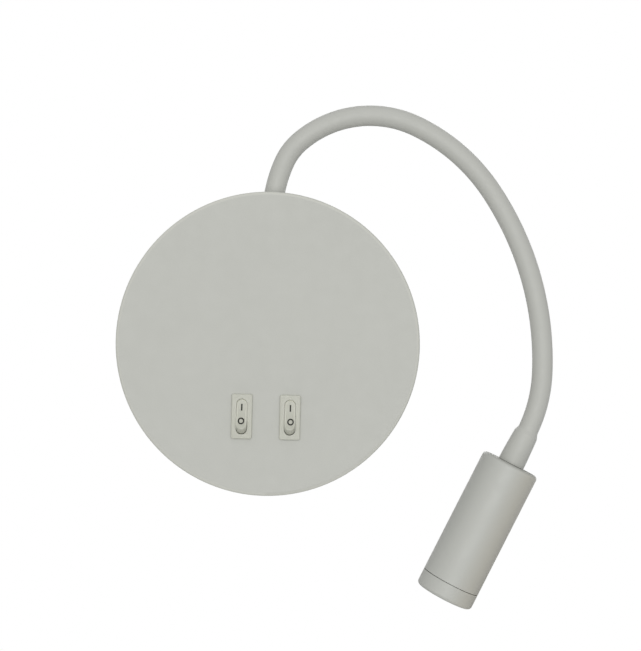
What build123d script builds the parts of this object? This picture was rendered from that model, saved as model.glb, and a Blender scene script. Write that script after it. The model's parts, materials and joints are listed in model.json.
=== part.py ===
from build123d import *
import os
from math import asin, cos, degrees, pi, radians, sin, sqrt

# Gooseneck wall lamp: a flat round cover with a ring light behind it, two slim
# rocker switches, and a reading head on a sleeved gooseneck.
# Millimetres. X is right and Z is up as seen from the room, Y points into the wall.
# The origin is the middle of the bracket's back face, and the wall is the plane Y = 0.
# A depth is a distance from the wall towards the room, so it lies at Y = -depth.

os.makedirs("parts", exist_ok=True)

# Common clearances
cut_overrun = 1.0
seat_gap = 0.3
thread_clearance = 0.05
hole_clearance = 0.25

# Cover
cover_diameter = 150.0
face_thickness = 1.5
rim_thickness = 1.2
cover_edge_radius = 1.8
stud_diameter = 3.9
stud_shoulder_diameter = 8.0
stud_across_share = 0.72
stud_up_share = 0.42

# Canopy
canopy_depth = 27.0
canopy_wall = 1.2
canopy_edge_radius = 0.9
cover_overhang = 15.0
cover_standoff = 5.0
rim_overlap = 5.0
window_margin = 1.5
window_corner_radius = 4.0

# Bracket and side screws
bracket_height = 24.0
bracket_thickness = 1.5
ear_height = 16.0
ear_depth = 14.0
ear_side_gap = 0.8
ear_bend_radius = 1.5
slot_spacing = 60.0
slot_length = 14.0
slot_width = 4.5
bracket_corner_radius = 3.0
side_screw_diameter = 3.9
side_screw_depth = 8.0
side_screw_head_diameter = 8.0
side_screw_head_height = 2.6
side_screw_length = 9.0
screw_slot_width = 1.0
screw_slot_depth = 1.1
side_screw_head_edge = 0.6

# Earth screw
earth_screw_x = 18.4
earth_screw_diameter = 3.9
earth_head_diameter = 6.6
earth_head_height = 2.4

# Terminal block
block_width = 24.0
block_height = 16.0
block_depth = 13.0
block_waist = 2.4
block_way_count = 3
block_bore_diameter = 3.6
block_screw_diameter = 3.4
block_screw_sink = 1.2
block_screw_length = 2.2
block_tower_diameter = 5.2
block_tower_height = 2.5
block_bore_share = 0.72

# Driver
driver_width = 46.0
driver_height = 24.0
driver_depth = 16.0
block_driver_gap = 5.0
driver_edge_radius = 1.5
driver_ear_length = 7.0
driver_ear_thickness = 2.0
driver_ear_height = 9.0
driver_screw_diameter = 2.9
driver_screw_head_diameter = 5.6
driver_screw_head_height = 1.9
driver_lip = 0.8

# Plate and ring light
plate_thickness = 1.5
plate_rim_gap = 1.3
board_thickness = 1.0
board_edge_inset = 4.0
led_count = 24
led_length = 3.5
led_width = 2.8
led_height = 0.7
diffuser_thickness = 1.5
diffuser_inset = 0.8
diffuser_lip_width = 2.0

# Cover nuts
nut_flats = 7.0
nut_height = 3.2
washer_diameter = 9.0
washer_thickness = 0.8

# Switches
switch_spacing = 23.7
switch_drop_share = 0.4787
bezel_width = 10.2
bezel_height = 22.0
bezel_thickness = 1.7
bezel_corner_radius = 0.9
bezel_edge_radius = 0.5
body_width = 8.5
body_height = 19.2
body_depth = 12.0
body_wall = 0.9
body_roof = 1.3
cutout_clearance = 0.2
wedge_width = 5.0
wedge_reach = 0.8
wedge_length = 4.5
pill_width = 5.5
pill_height = 17.6
rocker_clearance = 0.13
pivot_sink = 2.0
rocker_throw = 34.0
rocker_flush = 0.1
rocker_dish = 0.6
rocker_skirt = 1.6
rocker_edge_radius = 0.9
stem_width = 3.8
stem_depth = 4.6
pin_diameter = 1.6
pin_length = 7.4
running_clearance = 0.04
plunger_diameter = 2.2
plunger_reach = 2.4
plunger_hole_depth = 2.6
plunger_clearance = 0.1
contact_gap = 0.3
contact_thickness = 0.5
contact_length = 13.0
contact_width = 3.4
contact_throw = 14.0
contact_fold = 1.0
contact_rivet_diameter = 2.2
contact_rivet_height = 0.4
terminal_width = 2.8
terminal_thickness = 0.5
terminal_length = 5.5
terminal_hole_diameter = 1.3
fulcrum_width = 1.2

# Neck
gland_side_gap = 2.3
sleeve_diameter = 10.3
sleeve_wall = 1.0
coil_diameter = 7.4
coil_bore = 5.0
coil_gap = 1.3
cable_diameter = 3.6
gland_height = 4.0
gland_diameter = 13.0
gland_edge_radius = 1.0
gland_recess = 2.0
nipple_diameter = 9.8
nipple_length = 8.2
nipple_hole_diameter = 10.3
gland_nut_flats = 14.0
gland_nut_height = 2.8
gland_washer_diameter = 16.0
gland_washer_thickness = 0.9
shoulder_bend_radius = 71.0
shoulder_turn = 22.3
crook_bend_radius = 31.3
crook_turn = 26.5
crown_bend_radius = 54.4
crown_turn = 65.6
fall_bend_radius = 94.1
fall_turn = 30.2
drop_bend_radius = 153.7
drop_turn = 36.3
tuck_bend_radius = 73.8
tuck_turn = 24.7
neck_end_length = 17.2
single_piece_count = 1
double_piece_count = 2
triple_piece_count = 3

# Sleeve end and ferrule
flare_start_length = 19.6
flare_knee_length = 16.4
flare_knee_diameter = 12.3
flare_end_diameter = 13.6
flare_seam = 0.12
ferrule_nipple_length = 9.0
ferrule_coil_length = 11.0
head_nut_flats = 13.0
head_nut_height = 3.0

# Head
head_diameter = 30.0
head_length = 75.1
head_wall = 1.5
head_end_wall = 3.2
head_edge_radius = 2.0
ring_length = 8.3
ring_seam = 0.35
ring_edge_radius = 2.0
ring_opening_diameter = 23.0
ring_opening_chamfer = 1.2
ring_spigot_length = 5.0
ring_spigot_wall = 1.3
sink_length = 13.0
sink_clearance = 0.1
sink_fin_count = 3
sink_fin_width = 1.6
sink_fin_depth = 2.2
sink_bore_diameter = 4.2
spot_board_diameter = 20.0
spot_board_thickness = 1.5
spot_led_side = 3.5
spot_led_height = 0.8
spot_dome_diameter = 2.8
holder_diameter = 24.0
holder_wall = 1.0
holder_floor = 1.2
holder_length = 15.5
gasket_clearance = 0.1
lens_small_diameter = 9.5
lens_large_diameter = 21.2
lens_flange_height = 1.4
lens_well_diameter = 5.4
lens_well_depth = 4.0
gasket_section = 1.5

# Leads
lead_diameter = 1.7
lead_side_x = 15.8
lead_pitch = 4.2
lead_bend_radius = 4.0
lead_insertion = 3.0

# Radii and depths worked out from the sizes above
cover_radius = cover_diameter / 2
canopy_radius = cover_radius - cover_overhang
canopy_inside = canopy_depth - canopy_wall
neck_depth = canopy_inside - gland_washer_diameter / 2 - gland_side_gap
cover_back = canopy_depth - rim_overlap
plate_radius = cover_radius - rim_thickness - plate_rim_gap
plate_front = canopy_depth + plate_thickness
face_back = plate_front + cover_standoff
lamp_depth = face_back + face_thickness
stud_across = canopy_radius * stud_across_share
stud_up = canopy_radius * stud_up_share
switch_drop = cover_radius * switch_drop_share
head_radius = head_diameter / 2
sleeve_radius = sleeve_diameter / 2
sleeve_bore_radius = sleeve_radius - sleeve_wall
coil_radius = coil_diameter / 2
coil_bore_radius = coil_bore / 2


def depth_plane(depth):
    """Plane parallel to the wall, facing the room, at a depth."""
    return Plane.XZ.offset(depth)


def write_part(builder, name):
    """Label a finished piece and write its STEP file."""
    builder.part.label = name
    export_step(builder.part, f"parts/{name}.step")


def corner_of(outline, across, along):
    """The corner of an outline nearest to a place in its own plane."""
    return outline.vertices().sort_by_distance((across, along))[0]


# Cover: a spun dish with four welded shoulder studs
cover_axis = Axis((0, 0, 0), (0, -1, 0))
section = Plane((0, 0, 0), x_dir=(1, 0, 0), z_dir=(0, 0, -1))
stud_tip = canopy_inside - washer_thickness - nut_height - stud_diameter / 4
cutout_width = body_width + 2 * cutout_clearance
cutout_height = body_height + 2 * cutout_clearance
switch_points = [(-switch_spacing / 2, -switch_drop), (switch_spacing / 2, -switch_drop)]

with BuildPart() as front_cover:
    with BuildSketch(section) as outline:
        with BuildLine():
            Polyline(
                (0, lamp_depth),
                (cover_radius, lamp_depth),
                (cover_radius, cover_back),
                (cover_radius - rim_thickness, cover_back),
                (cover_radius - rim_thickness, face_back),
                (0, face_back),
                close=True,
            )
        make_face()
        fillet(corner_of(outline, cover_radius, lamp_depth), radius=cover_edge_radius)
    revolve(axis=cover_axis)
    with BuildSketch(depth_plane(lamp_depth + cut_overrun)):
        with Locations(*switch_points):
            Rectangle(cutout_width, cutout_height)
    extrude(amount=-(face_thickness + 2 * cut_overrun), mode=Mode.SUBTRACT)
    with BuildSketch(depth_plane(plate_front)):
        with GridLocations(2 * stud_across, 2 * stud_up, 2, 2):
            Circle(stud_shoulder_diameter / 2)
    extrude(amount=face_back - plate_front)
    with BuildSketch(depth_plane(stud_tip)):
        with GridLocations(2 * stud_across, 2 * stud_up, 2, 2):
            Circle(stud_diameter / 2)
    extrude(amount=face_back - stud_tip)
write_part(front_cover, "front_cover")

# Canopy: the rear housing, open to the wall
nipple_hole_radius = nipple_hole_diameter / 2
stud_hole_radius = stud_diameter / 2 + hole_clearance
side_hole_radius = side_screw_diameter / 2 + hole_clearance
window_middle = -switch_drop
window_width = switch_spacing + body_width + 2 * window_margin
window_height = body_height + 2 * wedge_reach + 2 * window_margin
driver_middle_z = block_height / 2 + block_driver_gap + driver_height / 2
driver_back = canopy_inside - driver_depth
driver_points = [
    (-(driver_width + driver_ear_length) / 2, driver_middle_z),
    ((driver_width + driver_ear_length) / 2, driver_middle_z),
]

with BuildPart() as canopy:
    with BuildSketch(section) as outline:
        with BuildLine():
            Polyline(
                (0, canopy_depth),
                (canopy_radius, canopy_depth),
                (canopy_radius, 0),
                (canopy_radius - canopy_wall, 0),
                (canopy_radius - canopy_wall, canopy_inside),
                (0, canopy_inside),
                close=True,
            )
        make_face()
        fillet(corner_of(outline, canopy_radius, canopy_depth), radius=canopy_edge_radius)
    revolve(axis=cover_axis)
    with BuildSketch(depth_plane(canopy_inside - cut_overrun)):
        with Locations((0, window_middle)):
            RectangleRounded(window_width, window_height, window_corner_radius)
        with GridLocations(2 * stud_across, 2 * stud_up, 2, 2):
            Circle(stud_hole_radius)
        with Locations(*driver_points):
            Circle(driver_screw_diameter / 2 + thread_clearance)
    extrude(amount=canopy_wall + 2 * cut_overrun, mode=Mode.SUBTRACT)
    with BuildSketch(Plane.XY.offset(canopy_radius - canopy_wall - cut_overrun)):
        with Locations((0, -neck_depth)):
            Circle(nipple_hole_radius)
    extrude(amount=canopy_wall + 2 * cut_overrun, mode=Mode.SUBTRACT)
    with BuildSketch(Plane.YZ):
        with Locations((-side_screw_depth, 0)):
            Circle(side_hole_radius)
    extrude(amount=canopy_radius + cut_overrun, both=True, mode=Mode.SUBTRACT)
write_part(canopy, "canopy")

# Bracket: a steel strip with two ears folded towards the room
ear_outside = canopy_radius - canopy_wall - ear_side_gap
ear_inside = ear_outside - bracket_thickness

with BuildPart() as wall_bracket:
    with BuildSketch(depth_plane(0)):
        RectangleRounded(2 * (ear_inside - ear_bend_radius), bracket_height, bracket_corner_radius)
        Rectangle(2 * ear_outside, ear_height)
    extrude(amount=bracket_thickness)
    for ear_side in (-1, 1):
        with BuildSketch(Plane.YZ.offset(ear_side * ear_inside)):
            with Locations((-ear_depth / 2, 0)):
                RectangleRounded(ear_depth, ear_height, bracket_corner_radius)
            with Locations((-ear_depth / 4, 0)):
                Rectangle(ear_depth / 2, ear_height)
        extrude(amount=ear_side * bracket_thickness)
    back_edges = wall_bracket.edges().filter_by(Axis.Z).group_by(Axis.Y)[-1].sort_by(Axis.X)
    fillet([back_edges[0], back_edges[-1]], radius=ear_bend_radius)
    with BuildSketch(depth_plane(-cut_overrun)):
        with GridLocations(slot_spacing, 0, 2, 1):
            SlotOverall(slot_length, slot_width)
        with Locations((earth_screw_x, 0)):
            Circle(earth_screw_diameter / 2 + thread_clearance)
    extrude(amount=bracket_thickness + 2 * cut_overrun, mode=Mode.SUBTRACT)
    with BuildSketch(Plane.YZ):
        with Locations((-side_screw_depth, 0)):
            Circle(side_screw_diameter / 2 + thread_clearance)
    extrude(amount=canopy_radius, both=True, mode=Mode.SUBTRACT)
write_part(wall_bracket, "wall_bracket")

# Side screws
with BuildPart() as bracket_screws:
    for screw_side in (-1, 1):
        head_plane = Plane(
            (screw_side * (canopy_radius + thread_clearance), -side_screw_depth, 0),
            x_dir=(0, 1, 0),
            z_dir=(screw_side, 0, 0),
        )
        with BuildSketch(head_plane):
            Circle(side_screw_head_diameter / 2)
        extrude(amount=side_screw_head_height)
        head_rim = bracket_screws.edges().filter_by(GeomType.CIRCLE).sort_by(Axis.X)
        fillet(head_rim[-1 if screw_side > 0 else 0], radius=side_screw_head_edge)
        with BuildSketch(head_plane):
            Circle(side_screw_diameter / 2)
        extrude(amount=-side_screw_length)
        with BuildSketch(head_plane.offset(side_screw_head_height)):
            Rectangle(screw_slot_width, side_screw_head_diameter + cut_overrun)
        extrude(amount=-screw_slot_depth, mode=Mode.SUBTRACT)
write_part(bracket_screws, "bracket_screws")

# Earth screw
with BuildPart() as earth_screw:
    with BuildSketch(depth_plane(bracket_thickness)):
        with Locations((earth_screw_x, 0)):
            Circle(earth_head_diameter / 2)
    extrude(amount=earth_head_height)
    with BuildSketch(depth_plane(0)):
        with Locations((earth_screw_x, 0)):
            Circle(earth_screw_diameter / 2)
    extrude(amount=bracket_thickness)
    with BuildSketch(depth_plane(bracket_thickness + earth_head_height)):
        with Locations((earth_screw_x, 0)):
            Rectangle(earth_head_diameter + cut_overrun, screw_slot_width)
    extrude(amount=-screw_slot_depth, mode=Mode.SUBTRACT)
write_part(earth_screw, "earth_screw")

# Terminal block: three ways, each with a wire bore and a screw tower
block_pitch = block_width / block_way_count
block_back = bracket_thickness
block_front = block_back + block_depth
tower_front = block_front + block_tower_height
block_bore_depth = block_back + block_depth * block_bore_share

with BuildPart() as terminal_block:
    with BuildSketch(depth_plane(block_back)):
        with GridLocations(block_pitch, 0, block_way_count, 1):
            Rectangle(block_pitch - block_waist, block_height)
        Rectangle(block_width - block_waist, block_height - 2 * block_waist)
    extrude(amount=block_depth)
    with BuildSketch(depth_plane(block_front)):
        with GridLocations(block_pitch, 0, block_way_count, 1):
            Circle(block_tower_diameter / 2)
    extrude(amount=block_tower_height)
    with BuildSketch(Plane.XY.offset(-block_height / 2 - cut_overrun)):
        with Locations((0, -block_bore_depth)):
            with GridLocations(block_pitch, 0, block_way_count, 1):
                Circle(block_bore_diameter / 2)
    extrude(amount=block_height + 2 * cut_overrun, mode=Mode.SUBTRACT)
    with BuildSketch(depth_plane(tower_front)):
        with GridLocations(block_pitch, 0, block_way_count, 1):
            Circle(block_screw_diameter / 2 + thread_clearance)
    extrude(amount=block_bore_depth - tower_front, mode=Mode.SUBTRACT)
write_part(terminal_block, "terminal_block")

# Terminal screws
with BuildPart() as terminal_screws:
    with BuildSketch(depth_plane(tower_front - block_screw_sink)):
        with GridLocations(block_pitch, 0, block_way_count, 1):
            Circle(block_screw_diameter / 2)
    extrude(amount=-block_screw_length)
    with BuildSketch(depth_plane(tower_front - block_screw_sink)):
        with GridLocations(block_pitch, 0, block_way_count, 1):
            Rectangle(block_screw_diameter + cut_overrun, screw_slot_width)
    extrude(amount=-screw_slot_depth, mode=Mode.SUBTRACT)
write_part(terminal_screws, "terminal_screws")

# Driver: a potted box with a screw ear at each end
with BuildPart() as led_driver:
    with BuildSketch(depth_plane(canopy_inside)):
        with Locations((0, driver_middle_z)):
            RectangleRounded(driver_width, driver_height, driver_edge_radius)
    extrude(amount=-driver_depth)
    with BuildSketch(depth_plane(driver_back)):
        with Locations((0, driver_middle_z)):
            Rectangle(driver_width - 4 * driver_lip, driver_height - 4 * driver_lip)
    extrude(amount=driver_lip, mode=Mode.SUBTRACT)
    with BuildSketch(depth_plane(canopy_inside)):
        with Locations((0, driver_middle_z)):
            SlotOverall(driver_width + 2 * driver_ear_length, driver_ear_height)
    extrude(amount=-driver_ear_thickness)
    with BuildSketch(depth_plane(canopy_inside + cut_overrun)):
        with Locations(*driver_points):
            Circle(driver_screw_diameter / 2 + thread_clearance)
    extrude(amount=-(driver_ear_thickness + 2 * cut_overrun), mode=Mode.SUBTRACT)
write_part(led_driver, "led_driver")

# Driver screws
driver_screw_seat = canopy_inside - driver_ear_thickness

with BuildPart() as driver_screws:
    with BuildSketch(depth_plane(driver_screw_seat)):
        with Locations(*driver_points):
            Circle(driver_screw_head_diameter / 2)
    extrude(amount=-driver_screw_head_height)
    with BuildSketch(depth_plane(driver_screw_seat)):
        with Locations(*driver_points):
            Circle(driver_screw_diameter / 2)
    extrude(amount=canopy_depth - driver_screw_seat)
write_part(driver_screws, "driver_screws")

# Plate that carries the ring light and seats the cover's studs
with BuildPart() as led_plate:
    with BuildSketch(depth_plane(canopy_depth)):
        Circle(plate_radius)
        with Locations((0, window_middle)):
            RectangleRounded(window_width, window_height, window_corner_radius, mode=Mode.SUBTRACT)
        with GridLocations(2 * stud_across, 2 * stud_up, 2, 2):
            Circle(stud_hole_radius, mode=Mode.SUBTRACT)
    extrude(amount=plate_thickness)
write_part(led_plate, "led_plate")

# Ring light: board and chips face the wall
board_inner_radius = canopy_radius + plate_rim_gap
board_outer_radius = cover_radius - rim_thickness - board_edge_inset
led_back = canopy_depth - board_thickness
led_radius = (board_inner_radius + board_outer_radius) / 2

with BuildPart() as halo_board:
    with BuildSketch(depth_plane(canopy_depth)):
        Circle(board_outer_radius)
        Circle(board_inner_radius, mode=Mode.SUBTRACT)
    extrude(amount=-board_thickness)
write_part(halo_board, "halo_board")

with BuildPart() as halo_leds:
    with BuildSketch(depth_plane(led_back)):
        with PolarLocations(led_radius, led_count):
            Rectangle(led_width, led_length)
    extrude(amount=-led_height)
write_part(halo_leds, "halo_leds")

# Diffuser: an opal ring inset behind the cover's rim, with a lip that seats on the plate
diffuser_radius = cover_radius - rim_thickness - seat_gap
diffuser_bore_radius = canopy_radius + seat_gap
diffuser_back = cover_back + diffuser_inset

with BuildPart() as halo_diffuser:
    with BuildSketch(section):
        with BuildLine():
            Polyline(
                (diffuser_bore_radius, diffuser_back),
                (diffuser_radius, diffuser_back),
                (diffuser_radius, canopy_depth),
                (diffuser_radius - diffuser_lip_width, canopy_depth),
                (diffuser_radius - diffuser_lip_width, diffuser_back + diffuser_thickness),
                (diffuser_bore_radius, diffuser_back + diffuser_thickness),
                close=True,
            )
        make_face()
    revolve(axis=cover_axis)
write_part(halo_diffuser, "halo_diffuser")

# Nuts with washers on the cover's studs
with BuildPart() as cover_nuts:
    with BuildSketch(depth_plane(canopy_inside)):
        with GridLocations(2 * stud_across, 2 * stud_up, 2, 2):
            Circle(washer_diameter / 2)
            Circle(stud_diameter / 2 + thread_clearance, mode=Mode.SUBTRACT)
    extrude(amount=-washer_thickness)
    with BuildSketch(depth_plane(canopy_inside - washer_thickness)):
        with GridLocations(2 * stud_across, 2 * stud_up, 2, 2):
            RegularPolygon(nut_flats / 2, 6, major_radius=False)
            Circle(stud_diameter / 2 + thread_clearance, mode=Mode.SUBTRACT)
    extrude(amount=-nut_height)
write_part(cover_nuts, "cover_nuts")

# Switches: a snap-in frame, a rocker on its pin, a plunger, a see-saw blade and terminals
bezel_front = lamp_depth + bezel_thickness
body_back = lamp_depth - body_depth
pivot_depth = bezel_front - pivot_sink
rocker_radius = pill_height / 2 - rocker_clearance
rocker_end_radius = pill_width / 2 - rocker_clearance
rest_tilt = rocker_throw / 2
flush_angle = degrees(asin((pivot_sink - rocker_flush) / rocker_radius))
corner_angle = radians(flush_angle + rest_tilt)
corner_reach = rocker_radius * cos(corner_angle)
corner_rise = rocker_radius * sin(corner_angle)
stem_half = stem_width / 2
plunger_radius = plunger_diameter / 2
plunger_tip = stem_depth + plunger_reach
contact_pivot_depth = pivot_depth - plunger_tip - contact_gap - contact_thickness / 2
contact_tilt = contact_throw / 2
roof_back = lamp_depth - body_roof
floor_front = body_back + body_wall
wedge_front = face_back - thread_clearance
pad_drop = contact_length / 2 - contact_fold
slit_width = terminal_width + 2 * thread_clearance
slit_height = terminal_thickness + 2 * thread_clearance


def make_switch(side, switch_x):
    """Write the six pieces of one switch; its rocker rests pressed at the top."""
    body_plane = depth_plane(body_back)
    pivot = (switch_x, -pivot_depth, -switch_drop)
    tilt = radians(rest_tilt)
    rocker_plane = Plane(pivot, x_dir=(1, 0, 0), z_dir=(0, -cos(tilt), sin(tilt)))
    rocker_side = Plane(pivot, x_dir=(0, sin(tilt), cos(tilt)), z_dir=(1, 0, 0))
    pivot_axis = Axis(pivot, (1, 0, 0))

    with BuildPart() as switch_body:
        with BuildSketch(body_plane):
            with Locations((switch_x, -switch_drop)):
                Rectangle(body_width, body_height)
        extrude(amount=body_depth)
        with BuildSketch(depth_plane(lamp_depth)):
            with Locations((switch_x, -switch_drop)):
                RectangleRounded(bezel_width, bezel_height, bezel_corner_radius)
        extrude(amount=bezel_thickness)
        bezel_edges = switch_body.faces().sort_by(Axis.Y)[0].edges()
        fillet(bezel_edges, radius=bezel_edge_radius)
        with BuildSketch(depth_plane(floor_front)):
            with Locations((switch_x, -switch_drop)):
                Rectangle(body_width - 2 * body_wall, body_height - 2 * body_wall)
        extrude(amount=roof_back - floor_front, mode=Mode.SUBTRACT)
        with BuildSketch(depth_plane(roof_back - cut_overrun)):
            with Locations((switch_x, -switch_drop)):
                SlotOverall(pill_height, pill_width, rotation=90)
        extrude(amount=bezel_front - roof_back + 2 * cut_overrun, mode=Mode.SUBTRACT)
        with BuildSketch(Plane.YZ.offset(switch_x)):
            with Locations((-pivot_depth, -switch_drop)):
                Circle(pin_diameter / 2 + thread_clearance)
        extrude(amount=pin_length / 2 + thread_clearance, both=True, mode=Mode.SUBTRACT)
        wedge_plane = Plane((switch_x, -wedge_front, -switch_drop), x_dir=(0, 0, 1), z_dir=(1, 0, 0))
        with BuildSketch(wedge_plane):
            for wedge_side in (-1, 1):
                with BuildLine():
                    Polyline(
                        (wedge_side * (body_height / 2 - body_wall / 2), 0),
                        (wedge_side * (body_height / 2 + wedge_reach), 0),
                        (wedge_side * (body_height / 2 - body_wall / 2), -wedge_length),
                        close=True,
                    )
                make_face()
        extrude(amount=wedge_width / 2, both=True)
        with BuildSketch(depth_plane(body_back - cut_overrun)):
            with Locations((switch_x, -switch_drop), (switch_x, -switch_drop - pad_drop)):
                Rectangle(slit_width, slit_height)
        extrude(amount=body_wall + 2 * cut_overrun, mode=Mode.SUBTRACT)
    write_part(switch_body, f"switch_body_{side}")

    with BuildPart() as switch_rocker:
        with BuildSketch(rocker_plane):
            with BuildLine():
                Polyline(
                    (rocker_end_radius, rocker_radius - rocker_end_radius),
                    (rocker_end_radius, 0),
                    (-rocker_end_radius, 0),
                    (-rocker_end_radius, rocker_radius - rocker_end_radius),
                )
                ThreePointArc(
                    (-rocker_end_radius, rocker_radius - rocker_end_radius),
                    (0, rocker_radius),
                    (rocker_end_radius, rocker_radius - rocker_end_radius),
                )
            make_face()
        revolve(axis=pivot_axis)
        with BuildSketch(rocker_side):
            with BuildLine():
                ThreePointArc(
                    (-corner_reach, corner_rise),
                    (0, corner_rise - rocker_dish),
                    (corner_reach, corner_rise),
                )
                Polyline(
                    (corner_reach, corner_rise),
                    (rocker_radius + cut_overrun, corner_rise),
                    (rocker_radius + cut_overrun, -rocker_skirt),
                    (stem_half, -rocker_skirt),
                    (stem_half, -stem_depth),
                    (-stem_half, -stem_depth),
                    (-stem_half, -rocker_skirt),
                    (-rocker_radius - cut_overrun, -rocker_skirt),
                    (-rocker_radius - cut_overrun, corner_rise),
                    (-corner_reach, corner_rise),
                )
            make_face()
        extrude(amount=pill_width, both=True, mode=Mode.INTERSECT)
        top_face = switch_rocker.faces().sort_by(Axis(pivot, (0, -cos(tilt), sin(tilt))))[-1]
        fillet(top_face.edges(), radius=rocker_edge_radius)
        with BuildSketch(rocker_side):
            Circle(pin_diameter / 2 + running_clearance)
        extrude(amount=pill_width, both=True, mode=Mode.SUBTRACT)
        with BuildSketch(rocker_plane.offset(-stem_depth - cut_overrun)):
            Circle(plunger_radius + plunger_clearance)
        extrude(amount=plunger_hole_depth + cut_overrun, mode=Mode.SUBTRACT)
    write_part(switch_rocker, f"switch_rocker_{side}")

    with BuildPart() as switch_pin:
        with BuildSketch(Plane.YZ.offset(switch_x - pin_length / 2)):
            with Locations((-pivot_depth, -switch_drop)):
                Circle(pin_diameter / 2)
        extrude(amount=pin_length)
    write_part(switch_pin, f"switch_pin_{side}")

    with BuildPart() as switch_plunger:
        with BuildSketch(rocker_side):
            with BuildLine():
                Polyline(
                    (0, plunger_hole_depth - stem_depth - thread_clearance),
                    (plunger_radius, plunger_hole_depth - stem_depth - thread_clearance),
                    (plunger_radius, plunger_radius - plunger_tip),
                )
                ThreePointArc(
                    (plunger_radius, plunger_radius - plunger_tip),
                    (plunger_radius * cos(pi / 4), plunger_radius * (1 - sin(pi / 4)) - plunger_tip),
                    (0, -plunger_tip),
                )
                Line((0, -plunger_tip), (0, plunger_hole_depth - stem_depth - thread_clearance))
            make_face()
        revolve(axis=Axis(pivot, (0, -cos(tilt), sin(tilt))))
    write_part(switch_plunger, f"switch_plunger_{side}")

    blade_tilt = radians(contact_tilt)
    blade_middle = (switch_x, -contact_pivot_depth, -switch_drop)
    blade_plane = Plane(blade_middle, x_dir=(1, 0, 0), z_dir=(0, -cos(blade_tilt), -sin(blade_tilt)))

    with BuildPart() as switch_contact:
        with BuildSketch(blade_plane.offset(-contact_thickness / 2)):
            RectangleRounded(contact_width, contact_length, contact_fold)
        extrude(amount=contact_thickness)
        with BuildSketch(blade_plane.offset(-contact_thickness / 2)):
            with Locations((0, contact_fold - contact_length / 2)):
                Circle(contact_rivet_diameter / 2)
        extrude(amount=-contact_rivet_height)
    write_part(switch_contact, f"switch_contact_{side}")

    blade_back = contact_pivot_depth - contact_thickness / 2
    fulcrum_tip = blade_back - thread_clearance
    rivet_reach = contact_thickness / 2 + contact_rivet_height
    pad_front = (
        contact_pivot_depth
        - pad_drop * sin(blade_tilt)
        - rivet_reach * cos(blade_tilt)
        - contact_rivet_diameter / 2 * sin(blade_tilt)
        - thread_clearance
    )
    with BuildPart() as switch_terminals:
        with BuildSketch(depth_plane(body_back - terminal_length)):
            with Locations((switch_x, -switch_drop)):
                Rectangle(terminal_width, terminal_thickness)
        extrude(amount=terminal_length + fulcrum_tip - body_back)
        with BuildSketch(depth_plane(floor_front)):
            with Locations((switch_x, -switch_drop)):
                Rectangle(contact_width, fulcrum_width)
        extrude(amount=terminal_thickness)
        with BuildSketch(depth_plane(body_back - terminal_length)):
            with Locations((switch_x, -switch_drop - pad_drop)):
                Rectangle(terminal_width, terminal_thickness)
        extrude(amount=terminal_length + body_wall)
        with BuildSketch(depth_plane(floor_front)):
            with Locations((switch_x, -switch_drop - pad_drop)):
                Rectangle(terminal_width, fulcrum_width)
        extrude(amount=pad_front - floor_front)
        with BuildSketch(Plane.XY.offset(-switch_drop + body_height)):
            with Locations((switch_x, terminal_length / 2 - body_back + terminal_hole_diameter)):
                Circle(terminal_hole_diameter / 2)
        extrude(amount=-2 * body_height, mode=Mode.SUBTRACT)
    write_part(switch_terminals, f"switch_terminals_{side}")


for switch_side, (switch_middle_x, _) in zip(("left", "right"), switch_points):
    make_switch(switch_side, switch_middle_x)

# Neck: its line is a straight, then arcs that touch, then a straight into the head.
# Each arc is cut into equal pieces, and the neck bends at the joints between them.
neck_plane = depth_plane(neck_depth)
neck_start = canopy_radius + gland_height
neck_bends = [
    (shoulder_bend_radius, shoulder_turn, single_piece_count),
    (crook_bend_radius, crook_turn, single_piece_count),
    (crown_bend_radius, crown_turn, triple_piece_count),
    (fall_bend_radius, fall_turn, double_piece_count),
    (drop_bend_radius, drop_turn, triple_piece_count),
    (tuck_bend_radius, tuck_turn, double_piece_count),
]


def along_piece(piece, turned):
    """Place and heading on a neck piece after a part of its turn."""
    x, z, heading, radius, _ = piece
    middle_x = x + radius * cos(radians(heading - 90))
    middle_z = z + radius * sin(radians(heading - 90))
    new_x = middle_x - radius * cos(radians(heading - turned - 90))
    new_z = middle_z - radius * sin(radians(heading - turned - 90))
    return new_x, new_z, heading - turned


def across_neck(x, z, heading):
    """Plane across the neck, facing along it."""
    direction = (cos(radians(heading)), 0, sin(radians(heading)))
    return Plane((x, -neck_depth, z), x_dir=(0, -1, 0), z_dir=direction)


def neck_pieces():
    """List each piece's start x, start z, heading, radius and turn, then the end's place."""
    pieces = []
    place = (0, neck_start, 90)
    for radius, turn, count in neck_bends:
        for _ in range(count):
            piece = (*place, radius, turn / count)
            pieces.append(piece)
            place = along_piece(piece, turn / count)
    return pieces, place


pieces, (end_x, end_z, end_heading) = neck_pieces()
head_x = end_x + neck_end_length * cos(radians(end_heading))
head_z = end_z + neck_end_length * sin(radians(end_heading))
head_origin = (head_x, -neck_depth, head_z)
head_direction = (cos(radians(end_heading)), 0, sin(radians(end_heading)))
head_across = (sin(radians(end_heading)), 0, -cos(radians(end_heading)))
head_axis = Axis(head_origin, head_direction)
head_section = Plane(head_origin, x_dir=head_across, z_dir=(0, -1, 0))
neck_length = neck_end_length + sum(piece[3] * radians(piece[4]) for piece in pieces)
print("neck length from gland to head", round(neck_length, 1))
for number, piece in enumerate(pieces, start=1):
    print("hinge", number, "at", [round(value, 2) for value in piece])
print("hinge", len(pieces) + 1, "at", round(end_x, 2), round(end_z, 2), round(end_heading, 2))
print("head at", [round(value, 2) for value in head_origin])


def head_plane_at(distance):
    """Plane across the head, facing its front, at a distance from its neck end."""
    return Plane(
        tuple(start + distance * step for start, step in zip(head_origin, head_direction)),
        x_dir=(0, -1, 0),
        z_dir=head_direction,
    )


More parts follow.
